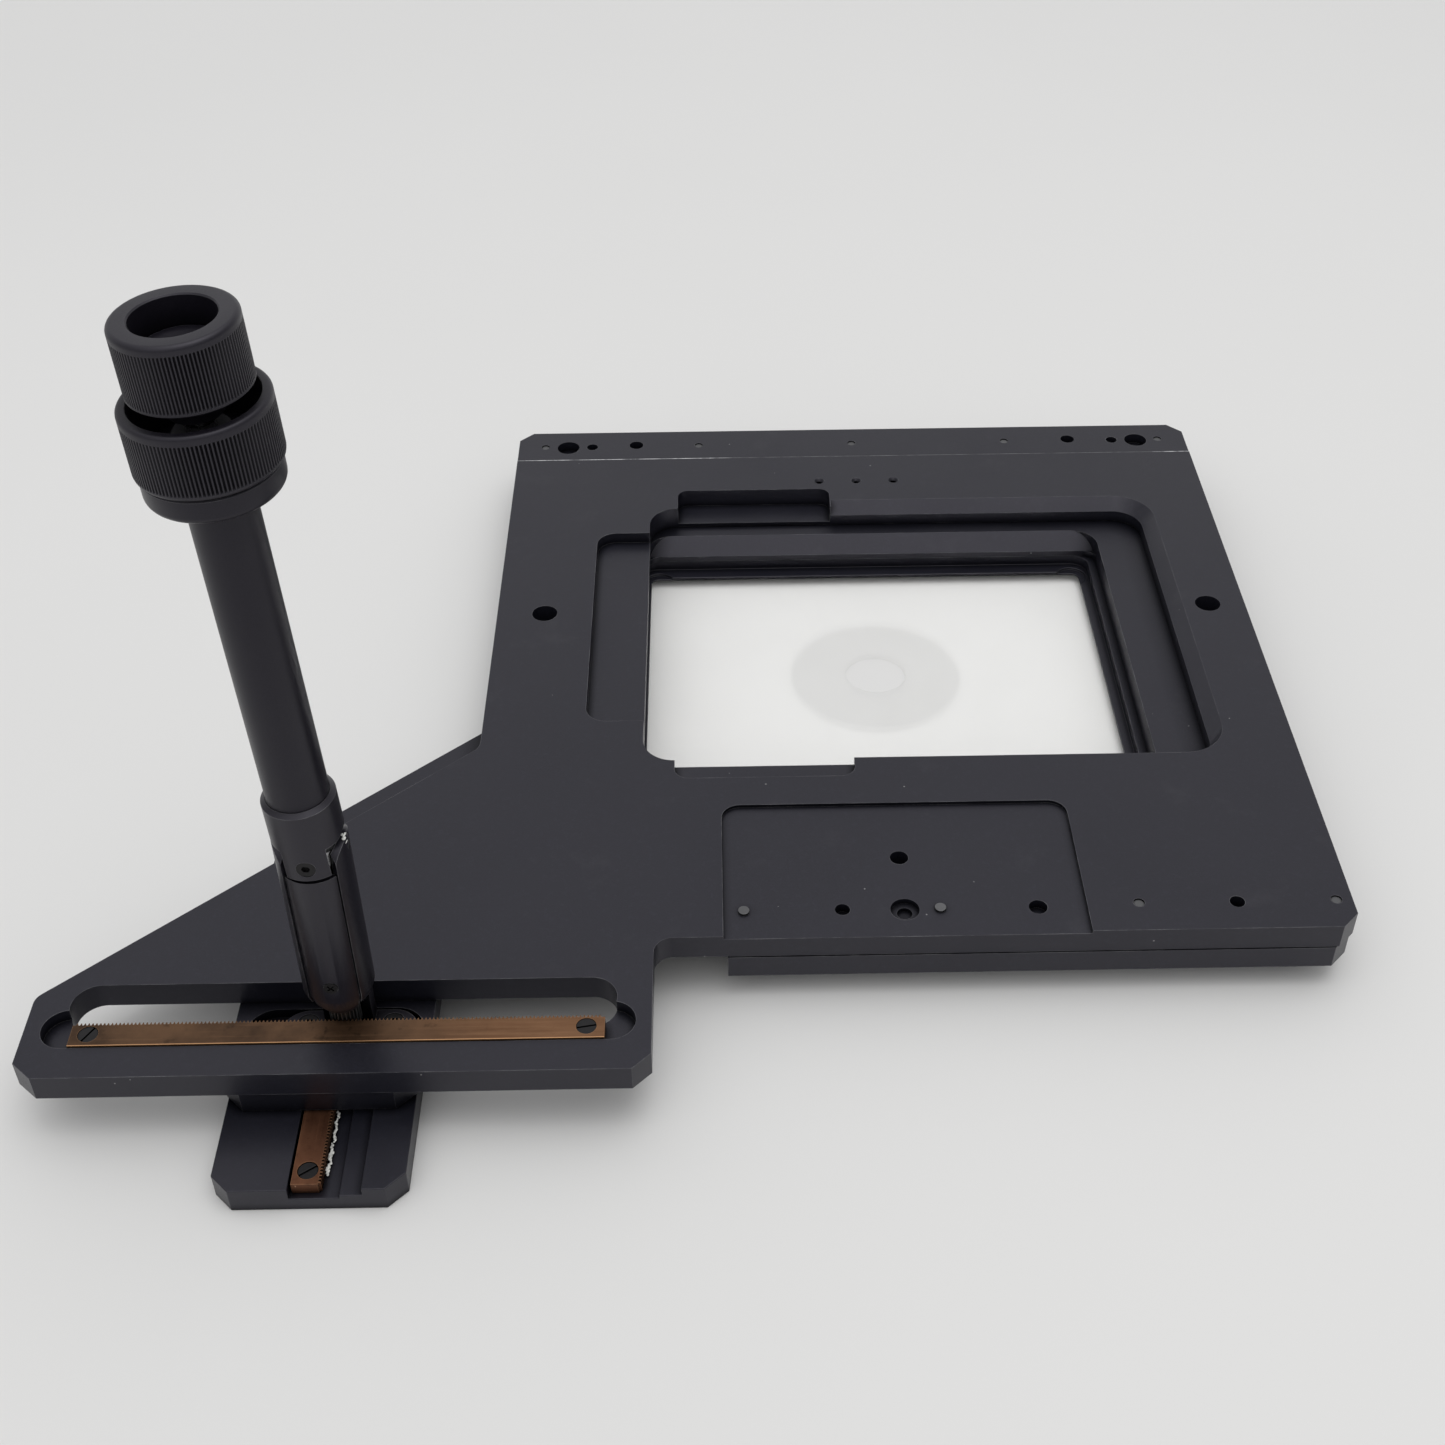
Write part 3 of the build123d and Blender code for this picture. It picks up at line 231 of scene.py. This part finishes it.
def anodised(name, colour, rough=0.38, dust=1.0, wear=0.5, grain=0.35,
             gloss=0.5, shade_reach=None, worn_y=None):
    """Bead-blasted black anodising: fine grain, faint blotches, dust specks and rubbed edges.
    Painted shade darkens grooves and hollows and lowers their gloss, up to the depth given as reach; worn_y is the
    place of a line rubbed bright along X."""
    s = Shader(name)
    fine = s.noise(2600, 4, 0.7)
    blotch = s.noise(16, 4, 0.55)
    speckle = s.noise(700, 4, 0.75)
    lighter = brighter(colour, 1.4, 0.001)
    base = s.mix(s.fit(fine, 0.32, 0.68), brighter(colour, 0.80), lighter)
    base = s.mix(s.fit(blotch, 0.35, 0.70, 0.0, 0.35), base, lighter)
    base = s.mix(s.fit(speckle, 0.54, 0.66, 0.0, 0.30 * dust), base, brighter(colour, 2.4, 0.004))
    specks = s.cells(520)
    tiny = s.math("LESS_THAN", specks.outputs["Distance"], 0.11)
    rare = s.math("GREATER_THAN", specks.outputs["Color"], 1.0 - 0.075 * dust)
    film = s.fit(s.noise(55, 5, 0.65), 0.60, 0.80, 0.0, 0.10 * dust)
    base = s.mix(s.math("MULTIPLY", tiny, s.math("MULTIPLY", rare, 0.55)), base, (0.42, 0.42, 0.42))
    base = s.mix(film, base, (0.10, 0.10, 0.105))
    rubbed = s.math("MULTIPLY", s.edges(0.00028), s.fit(s.noise(90, 4, 0.7), 0.42, 0.62, 0.10, wear))
    base = s.mix(rubbed, base, (0.30, 0.30, 0.31))
    if worn_y is not None:
        base = s.mix(worn_line(s, worn_y), base, (0.72, 0.72, 0.73))
    wide = s.fit(s.noise(30, 3), 0.3, 0.7, rough - 0.06, rough + 0.06)
    roughness = s.math("ADD", wide, s.fit(fine, 0.3, 0.7, -0.05, 0.05))
    level = gloss
    # painted shade in grooves and hollows, in the colour and in the gloss
    if shade_reach:
        share = s.painted_shade_factor(shade_reach)
        base = s.with_painted_shade(share, base)
        level = s.math("MULTIPLY", share, gloss)
    s.set(Base_Color=base, Roughness=roughness, Specular_IOR_Level=level, Specular_Tint=VIOLET)
    s.bump(fine, grain, 0.00006)
    return s.material


def bronze(name, direction, dark, light, front=None, lighter_span=None):
    """Milled bronze, browned with age, with streaks along the bar, thin scratches and a bright arris.
    fresh is the stretch of X over which the bar turns from darker to lighter."""
    s = Shader(name)
    along = s.stretched(*((0.05, 1, 1) if direction == "x" else (1, 0.05, 1)))
    streak = s.noise(900, 5, 0.7, along)
    base = s.mix(s.fit(s.noise(45, 5, 0.6), 0.36, 0.62), dark, light)
    base = s.mix(s.fit(streak, 0.55, 0.75, 0.0, 0.45), base, brighter(light, 1.5))
    base = s.mix(s.fit(s.noise(420, 3), 0.60, 0.76, 0.0, 0.6), base, brighter(dark, 0.45))
    thin = s.noise(900, 2, 0.4, s.stretched(1.0, 0.05, 1.0, turn=62))
    line = s.math("MULTIPLY", s.fit(thin, 0.72, 0.75), s.fit(s.noise(60, 2), 0.60, 0.66))
    base = s.mix(s.math("MULTIPLY", line, 0.8), base, (0.55, 0.33, 0.20))
    if lighter_span is not None:
        lighter_share = s.fit(s.split(s.place)[0], *lighter_span, 0.0, 0.55)
        bright = s.mix(s.fit(streak, 0.4, 0.7), (0.22, 0.105, 0.050), (0.34, 0.180, 0.095))
        base = s.mix(lighter_share, base, bright)
    base = s.mix(s.math("MULTIPLY", s.edges(0.0003), 0.40), base, (0.50, 0.28, 0.15))
    if front is not None:
        arris = s.fit(s.split(s.place)[1], front + 0.30 * MM, front + 0.10 * MM)
        base = s.mix(s.math("MULTIPLY", arris, 0.85), base, (0.72, 0.40, 0.20))
    # painted shade in the tooth valleys and corners
    base = s.with_painted_shade(s.painted_shade_factor(1.0 * MM), base)
    s.set(Base_Color=base, Metallic=0.85, Roughness=s.fit(streak, 0.3, 0.7, 0.32, 0.54))
    s.bump(streak, 0.25, 0.00005)
    return s.material


def metal(name, colour, rough=0.3, metallic=1.0, turned=False, shade_reach=0.6):
    """Plain machined metal with fine turning or grinding marks and a little tarnish."""
    s = Shader(name)
    marks = s.noise(1500, 4, 0.65, s.stretched(1, 1, 8.0 if turned else 0.3))
    stain = s.noise(120, 4, 0.6)
    base = s.mix(s.fit(stain, 0.35, 0.7), brighter(colour, 0.72), colour)
    base = s.mix(s.math("MULTIPLY", s.edges(0.0002), 0.35), base, brighter(colour, 1.5, 0.05))
    # painted shade in hollows and corners
    base = s.with_painted_shade(s.painted_shade_factor(shade_reach * MM), base)
    roughness = s.fit(marks, 0.3, 0.7, rough - 0.08, rough + 0.10)
    s.set(Base_Color=base, Metallic=metallic, Roughness=roughness)
    s.bump(marks, 0.2, 0.00004)
    return s.material


def clear_plastic(name):
    """Clear insert: see-through faces, a dark arris at the hole and a faint dish around it, both painted shade
    that stands in for light bent away by the hole's wall and the dish's slopes.
    """
    s = Shader(name)
    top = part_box("stage_insert")[1].z
    x, y, z = s.split(s.place)
    radius = s.math("SQRT", s.math("ADD", s.math("MULTIPLY", x, x), s.math("MULTIPLY", y, y)))
    # painted shade over the dish, where its slopes bend light away
    dish_shade = s.fit(radius, DISH_R - 1.2 * MM, DISH_R + 0.4 * MM, 0.036, 0.0)
    haze = s.fit(s.noise(40, 4, 0.6), 0.45, 0.8, 0.0, 0.008)
    shape = s.node("NewGeometry").outputs
    # painted shade: a dark line on the hole's upright wall near the top, for the darkening its refraction gives
    upright = s.math("SUBTRACT", 1.0, s.math("ABSOLUTE", s.split(shape["Normal"])[2]))
    near_top = s.fit(z, top - 0.45 * MM, top - 0.25 * MM, 0.03, 0.75)
    arris = s.math("MULTIPLY", s.fit(upright, 0.3, 0.8), near_top)
    tint = s.math("ADD", s.math("ADD", dish_shade, haze), arris)
    through = s.node("BsdfTransparent")
    s.link(s.mix(tint, (1.0, 1.0, 0.998), (0.02, 0.02, 0.022)), through.inputs["Color"])
    cloud = s.node("BsdfDiffuse")
    cloud.inputs["Color"].default_value = INSERT_CLOUD
    body = s.node("AddShader")
    s.link(through.outputs[0], body.inputs[0])
    s.link(cloud.outputs[0], body.inputs[1])
    gloss = s.node("BsdfGlossy")
    gloss.inputs["Roughness"].default_value = 0.05
    fresnel = s.node("Fresnel")
    fresnel.inputs["IOR"].default_value = 1.30
    outside = s.math("SUBTRACT", 1.0, shape["Backfacing"])
    mirror = s.math("MULTIPLY", s.math("MULTIPLY", fresnel.outputs[0], outside), 0.45)
    blend = s.node("MixShader")
    s.link(mirror, blend.inputs[0])
    s.link(body.outputs[0], blend.inputs[1])
    s.link(gloss.outputs[0], blend.inputs[2])
    s.link(blend.outputs[0], s.output.inputs["Surface"])
    return s.material


def grease(name):
    s = Shader(name)
    base = s.mix(s.fit(s.noise(900, 3), 0.4, 0.6), (0.55, 0.55, 0.52), (0.80, 0.80, 0.76))
    s.set(Base_Color=base, Roughness=0.35)
    s.bump(s.noise(1400, 3), 0.5, 0.0002)
    return s.material


def floor_white(name):
    s = Shader(name)
    base = s.mix(s.fit(s.noise(3, 4), 0.3, 0.7), (0.752, 0.747, 0.735), (0.766, 0.761, 0.749))
    s.set(Base_Color=base, Roughness=0.60, Specular_IOR_Level=0.25)
    return s.material


# ---- mesh helpers -------------------------------------------------------------------------------
def new_object(name, mesh):
    made = bpy.data.objects.new(name, mesh)
    bpy.context.scene.collection.objects.link(made)
    return made


def flatten_modifiers(piece):
    """Apply the piece's modifiers to its mesh."""
    bpy.context.view_layer.update()
    done = piece.evaluated_get(bpy.context.evaluated_depsgraph_get())
    mesh = bpy.data.meshes.new_from_object(done)
    piece.modifiers.clear()
    piece.data = mesh


def eased(node, material, width):
    """The CAD node's shape with its sharp edges eased by a small rounding, in mm."""
    mesh = frame["nodes"][node].data.copy()
    for attribute in [a.name for a in mesh.attributes if a.name == "custom_normal"]:
        mesh.attributes.remove(mesh.attributes[attribute])
    build = bmesh.new()
    build.from_mesh(mesh)
    bmesh.ops.remove_doubles(build, verts=build.verts, dist=2e-6)
    bmesh.ops.dissolve_limit(build, angle_limit=math.radians(0.6), verts=build.verts, edges=build.edges)
    build.to_mesh(mesh)
    build.free()
    mesh.shade_smooth()
    mesh.set_sharp_from_angle(angle=math.radians(28))
    mesh.materials.clear()
    mesh.materials.append(material)
    piece = new_object("look_" + node, mesh)
    bevel = piece.modifiers.new("ease", "BEVEL")
    bevel.width = width * MM
    bevel.segments = 2
    bevel.limit_method = "ANGLE"
    bevel.angle_limit = math.radians(32)
    bevel.use_clamp_overlap = True
    bevel.harden_normals = True
    bevel.miter_outer = "MITER_ARC"
    flatten_modifiers(piece)
    stand_for(piece, node)
    return piece


def stand_for(piece, node):
    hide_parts(node)
    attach(piece, BODY_OF[node])


def handle_span(node):
    """Lowest and highest point of a node along the handle from the pivot, and its largest radius."""
    rel = [v.co - PIVOT for v in frame["nodes"][node].data.vertices]
    heights = [p.dot(HANDLE) for p in rel]
    return min(heights), max(heights), max((p - HANDLE * p.dot(HANDLE)).length for p in rel)


def handle_place(point):
    """From (x, y, height) about the handle's axis to the row frame."""
    side = Vector((0, 1, 0)).cross(HANDLE).normalized()
    return PIVOT + side * point[0] + HANDLE.cross(side) * point[1] + HANDLE * point[2]


def lathe(name, rows, material, around=96, teeth=0, depth=0.0):
    """Turned piece about the handle's axis.  A row is (radius, height, knurl share), in metres."""
    count = teeth * 6 if teeth else around
    build = bmesh.new()
    loops = []
    for radius, height, share in rows:
        loop = []
        for i in range(count):
            a = 2 * math.pi * i / count
            cut = depth * share * KNURL_WAVE[i % 6] if teeth else 0.0
            r = radius - cut
            loop.append(build.verts.new(handle_place((r * math.cos(a), r * math.sin(a), height))))
        loops.append(loop)
    for lower, upper in zip(loops, loops[1:] + loops[:1]):
        for i in range(count):
            j = (i + 1) % count
            build.faces.new((lower[i], lower[j], upper[j], upper[i]))
    bmesh.ops.recalc_face_normals(build, faces=build.faces)
    mesh = bpy.data.meshes.new(name)
    build.to_mesh(mesh)
    build.free()
    mesh.shade_smooth()
    mesh.set_sharp_from_angle(angle=math.radians(35))
    mesh.materials.append(material)
    return new_object(name, mesh)


KNURL_WAVE = (0.0, 0.0, 0.0, 0.75, 1.0, 0.75)      # depth of the cut over one tooth
KNURL_FADE = 0.35 * MM
KNOB_EASE = 0.3 * MM


def rounded(r0, z0, r1, z1, steps=4, convex=True):
    """Quarter-round rows from (r0, z0) to (r1, z1)."""
    rows = []
    for i in range(1, steps):
        a = math.pi / 2 * i / steps
        if convex:
            rows.append((r0 + (r1 - r0) * math.sin(a), z0 + (z1 - z0) * (1 - math.cos(a)), 0))
        else:
            rows.append((r0 + (r1 - r0) * (1 - math.cos(a)), z0 + (z1 - z0) * math.sin(a), 0))
    return rows


def knurled(r, low, high):
    """Rows of a knurled band, with the knurl running out at both ends."""
    return [(r, low, 0), (r, low + KNURL_FADE, 1), (r, high - KNURL_FADE, 1), (r, high, 0)]


# ---- knobs and handle ---------------------------------------------------------------------------
def make_x_knob(material):
    low, high, r = handle_span("x_knob")
    bore = 3.02 * MM
    hub = 6.0 * MM
    wall = r - 2.0 * MM
    web = low + 3.0 * MM
    hub_top = low + 7.5 * MM
    knurl_low, knurl_high = low + 1.25 * MM, high - 1.9 * MM
    rows = [(bore, low, 0), (r - 1.3 * MM, low, 0)]
    rows += rounded(r - 1.3 * MM, low, r, low + 1.2 * MM)
    rows += [(r, low + 1.2 * MM, 0)]
    rows += knurled(r, knurl_low, knurl_high)
    rows += [(r, high - 0.9 * MM, 0)]
    rows += rounded(r, high - 0.9 * MM, r - 0.8 * MM, high, convex=False)
    rows += [(r - 0.8 * MM, high, 0), (wall + 0.15 * MM, high, 0)]
    rows += [(wall, high - 0.15 * MM, 0), (wall, web, 0), (hub, web, 0)]
    rows += [(hub, hub_top - KNOB_EASE, 0), (hub - KNOB_EASE, hub_top, 0), (bore, hub_top, 0)]
    piece = lathe("look_x_knob", rows, material, teeth=116, depth=0.38 * MM)
    stand_for(piece, "x_knob")


def make_y_knob(material):
    low, high, r = handle_span("y_knob")
    skirt = high - 14.8 * MM
    bore, floor = 8.3 * MM, high - 7.4 * MM
    shaft = 1.52 * MM
    boss = 5.5 * MM
    knurl_low, knurl_high = skirt + 0.9 * MM, high - 1.9 * MM
    rows = [(shaft, low, 0), (boss - KNOB_EASE, low, 0), (boss, low + KNOB_EASE, 0), (boss, skirt, 0)]
    rows += [(r - 0.5 * MM, skirt, 0), (r, skirt + 0.5 * MM, 0)]
    rows += knurled(r, knurl_low, knurl_high)
    rows += [(r, high - 1.1 * MM, 0)]
    rows += rounded(r, high - 1.1 * MM, r - 1.1 * MM, high, steps=7, convex=False)
    rows += [(r - 1.1 * MM, high, 0), (bore + KNOB_EASE, high, 0)]
    rows += [(bore, high - KNOB_EASE, 0), (bore, floor, 0), (shaft, floor, 0)]
    piece = lathe("look_y_knob", rows, material, teeth=106, depth=0.34 * MM)
    stand_for(piece, "y_knob")


def make_top_disc(material):
    """Disc at the bottom of the upper knob's bore, slightly sunk in the middle."""
    low, high, r = handle_span("top_disc")
    middle = 0.05 * MM
    sunk = high - 0.25 * MM
    rows = [(middle, low, 0), (r, low, 0), (r, high - KNOB_EASE, 0), (r - KNOB_EASE, high, 0)]
    rows += [(r - 2.2 * MM, high, 0), (r - 2.6 * MM, sunk, 0), (middle, sunk, 0)]
    stand_for(lathe("look_top_disc", rows, material, around=72), "top_disc")


def make_end_ring(material):
    low, high, r = handle_span("end_ring")
    bore, seat = 3.2 * MM, 7.12 * MM
    step = low + 2.8 * MM
    rows = [(bore, step, 0), (seat, step, 0), (seat, low, 0), (r - 1.8 * MM, low, 0)]
    rows += rounded(r - 1.8 * MM, low, r, low + 1.8 * MM, steps=7)
    rows += [(r, low + 1.8 * MM, 0), (r, high - 0.25 * MM, 0), (r - 0.25 * MM, high, 0), (bore, high, 0)]
    stand_for(lathe("look_end_ring", rows, material, around=128), "end_ring")


def make_tube(material):
    low, high, r = handle_span("handle_tube")
    bore = 5.2 * MM
    ease = 0.2 * MM
    rows = [(bore, low, 0), (r - ease, low, 0), (r, low + ease, 0)]
    rows += [(r, high - ease, 0), (r - ease, high, 0), (bore, high, 0)]
    stand_for(lathe("look_handle_tube", rows, material, around=128), "handle_tube")


# ---- small soft deposits ------------------------------------------------------------------------
def smear(name, body, material, centre, size, seed, count):
    """A wavy bead of dried grease along Y, made of small flattened drops that run into each other."""
    draw = random.Random(seed)
    build = bmesh.new()
    for i in range(count):
        along = (i + 0.5) / count - 0.5
        wave = 0.5 * math.sin(along * 34.0) + draw.uniform(-0.5, 0.5)
        offset = Vector((0.5 * wave * size[0], along * size[1], draw.uniform(-0.5, 0.5) * size[2]))
        drop = bmesh.ops.create_icosphere(build, subdivisions=2, radius=draw.uniform(0.22, 0.46) * MM)
        stretch = Matrix.Diagonal((draw.uniform(0.7, 1.2), draw.uniform(1.0, 2.0), 0.45, 1))
        move = Matrix.Translation(Vector(centre) + offset) @ stretch
        bmesh.ops.transform(build, matrix=move, verts=drop["verts"])
    mesh = bpy.data.meshes.new(name)
    build.to_mesh(mesh)
    build.free()
    mesh.shade_smooth()
    mesh.materials.append(material)
    piece = new_object(name, mesh)
    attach(piece, body)


# ---- surroundings -------------------------------------------------------------------------------
def add_floor(material):
    half = 4.0
    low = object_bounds()[0][2] - 0.05 * MM
    mesh = bpy.data.meshes.new("floor")
    corners = [(-half, -half, low), (half, -half, low), (half, half, low), (-half, half, low)]
    mesh.from_pydata(corners, [], [(0, 1, 2, 3)])
    mesh.materials.append(material)
    new_object("floor", mesh)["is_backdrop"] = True


def add_light(name, at, aim, size, power):
    data = bpy.data.lights.new(name, "AREA")
    data.shape = "RECTANGLE"
    data.size, data.size_y = size
    data.energy = power
    lamp = bpy.data.objects.new(name, data)
    turn = (Vector(aim) - Vector(at)).to_track_quat("-Z", "Y").to_matrix().to_4x4()
    lamp.matrix_world = Matrix.Translation(at) @ turn
    bpy.context.scene.collection.objects.link(lamp)


def add_world():
    """Soft room light: even, plus more from straight above, the left, low behind and above in front."""
    world = bpy.data.worlds.new("studio")
    world.use_nodes = True
    tree = world.node_tree

    def math_node(operation, a, b):
        made = tree.nodes.new("ShaderNodeMath")
        made.operation = operation
        for value, socket in zip((a, b), made.inputs):
            if isinstance(value, bpy.types.NodeSocket):
                tree.links.new(value, socket)
            else:
                socket.default_value = value
        return made.outputs[0]

    def product(a, b):
        return math_node("MULTIPLY", a, b)

    def facing(value):
        return math_node("MAXIMUM", value, 0.0)

    split = tree.nodes.new("ShaderNodeSeparateXYZ")
    tree.links.new(tree.nodes.new("ShaderNodeTexCoord").outputs["Generated"], split.inputs[0])
    x, y, z = split.outputs
    height = facing(z)
    above = product(math_node("POWER", height, 3.0), SKY_TOP)
    left = product(facing(product(x, -1.0)), SKY_LEFT)
    far = product(product(facing(y), math_node("SUBTRACT", 1.0, height)), SKY_FAR)
    near = product(product(facing(product(y, -1.0)), height), SKY_NEAR)
    sides = math_node("ADD", math_node("ADD", far, near), left)
    strength = math_node("ADD", math_node("ADD", above, sides), SKY_EVEN)
    back = tree.nodes["Background"]
    back.inputs["Color"].default_value = (0.985, 0.99, 1.0, 1)
    tree.links.new(strength, back.inputs["Strength"])
    bpy.context.scene.world = world


# ---- build --------------------------------------------------------------------------------------
PLATE = (0.0060, 0.0062, 0.0102)
BLACK = (0.0055, 0.0048, 0.0080)
KNOB = (0.0048, 0.0040, 0.0072)
SKY_EVEN, SKY_TOP, SKY_LEFT, SKY_FAR, SKY_NEAR = 0.21, 0.95, 0.14, 0.75, 1.10
add_camera()
bpy.context.scene.view_settings.view_transform = "Standard"
handle = anodised("handle_anodised", BLACK, rough=0.38, dust=0.25, wear=0.35, grain=0.15, gloss=0.36)
# painted shade in the barrel's grooves, up to 1.5 mm deep
barrel = anodised("barrel_anodised", BLACK, rough=0.34, dust=0.35, wear=0.60, grain=0.12, shade_reach=1.5 * MM)
# painted shade in the knurl valleys and in the knob's recess, up to 5 mm deep
knob = anodised("knob_anodised", KNOB, rough=0.44, dust=0.15, wear=0.10, grain=0.25, gloss=0.48,
                shade_reach=5.0 * MM)
# the plates get painted shade in their grooves and hollows; the middle plate and the post get it much deeper,
# where they lie inside the slot and the opening
base = anodised("base_anodised", PLATE, shade_reach=PLATE_SHADE_REACH, worn_y=WORN_STEP_Y)
middle = anodised("middle_anodised_painted_shade", PLATE, shade_reach=DEEP_SHADE_REACH)
# the post's darker black, in place of the plate colour, is painted shade too, for its place deep in the slot
post = anodised("post_anodised_painted_shade", BLACK, rough=0.46, shade_reach=DEEP_SHADE_REACH)
LOOKS = {
    "plate": anodised("plate_anodised", PLATE, shade_reach=PLATE_SHADE_REACH),
    "handle_black": handle,
    "knob_black": knob,
    "rack": bronze("bronze_x", "x", (0.055, 0.031, 0.018), (0.135, 0.074, 0.040),
                   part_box("x_rack")[0].y, X_RACK_LIGHTER_SPAN),
    "steel": metal("ground_steel", (0.55, 0.55, 0.56)),
    "pinion_steel": metal("pinion_steel", (0.26, 0.26, 0.265), 0.34, 0.9, shade_reach=0.8),
    "screw_steel": metal("screw_steel", (0.17, 0.17, 0.175), 0.42, turned=True),
    "screw_black": metal("screw_black", (0.024, 0.023, 0.024), 0.40, 0.7, turned=True),
    "brass": metal("turned_brass", (0.66, 0.46, 0.22), 0.28, turned=True),
    "clear_insert": clear_plastic("clear_insert"),
}
for name, cad in frame["nodes"].items():
    cad.data.materials.clear()
    cad.data.materials.append(LOOKS[SLOT_OF[name]])
EASED = {                                # width of the small rounding on each part's edges, in mm
    "base_plate": 0.30, "middle_plate": 0.30, "specimen_plate": 0.30, "x_rack": 0.06,
    "x_rack_screws": 0.12, "y_rack_screws": 0.12, "rail_screws": 0.10, "handle_post": 0.15,
    "post_screws": 0.12, "barrel_cover": 0.15, "cover_screw": 0.08, "barrel_fork": 0.15,
    "gimbal_side_pins": 0.12, "collar": 0.15, "collar_screws": 0.12,
}
OWN_LOOKS = {"base_plate": base, "middle_plate": middle, "handle_post": post,
             "barrel_cover": barrel, "barrel_fork": barrel, "collar": barrel}
for name, width in EASED.items():
    eased(name, OWN_LOOKS.get(name, LOOKS[SLOT_OF[name]]), width)
eased("y_rack", bronze("bronze_y", "y", (0.080, 0.032, 0.017), (0.165, 0.072, 0.038)), 0.06)
make_x_knob(knob)
make_y_knob(knob)
make_top_disc(handle)
make_end_ring(handle)
make_tube(handle)
white = grease("grease")
rack_low, rack_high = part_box("y_rack")
beside_teeth = (rack_high.x + 0.6 * MM, rack_low.y + 14 * MM, rack_low.z + 0.50 * MM)
smear("grease_on_rack", "specimen", white, beside_teeth, (0.9 * MM, 19 * MM, 0.1 * MM), 3, 36)
pin_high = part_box("gimbal_side_pins")[1]
above_pin = (pin_high.x - 0.5 * MM, PIVOT.y - 1.0 * MM, pin_high.z + 1.6 * MM)
smear("grease_on_pin", "middle", white, above_pin, (0.9 * MM, 1.8 * MM, 2.6 * MM), 5, 22)
add_floor(floor_white("floor_white"))
add_world()
add_light("overhead", (0.15, -0.15, 1.3), (0.05, -0.05, 0), (0.9, 0.9), 3.4)
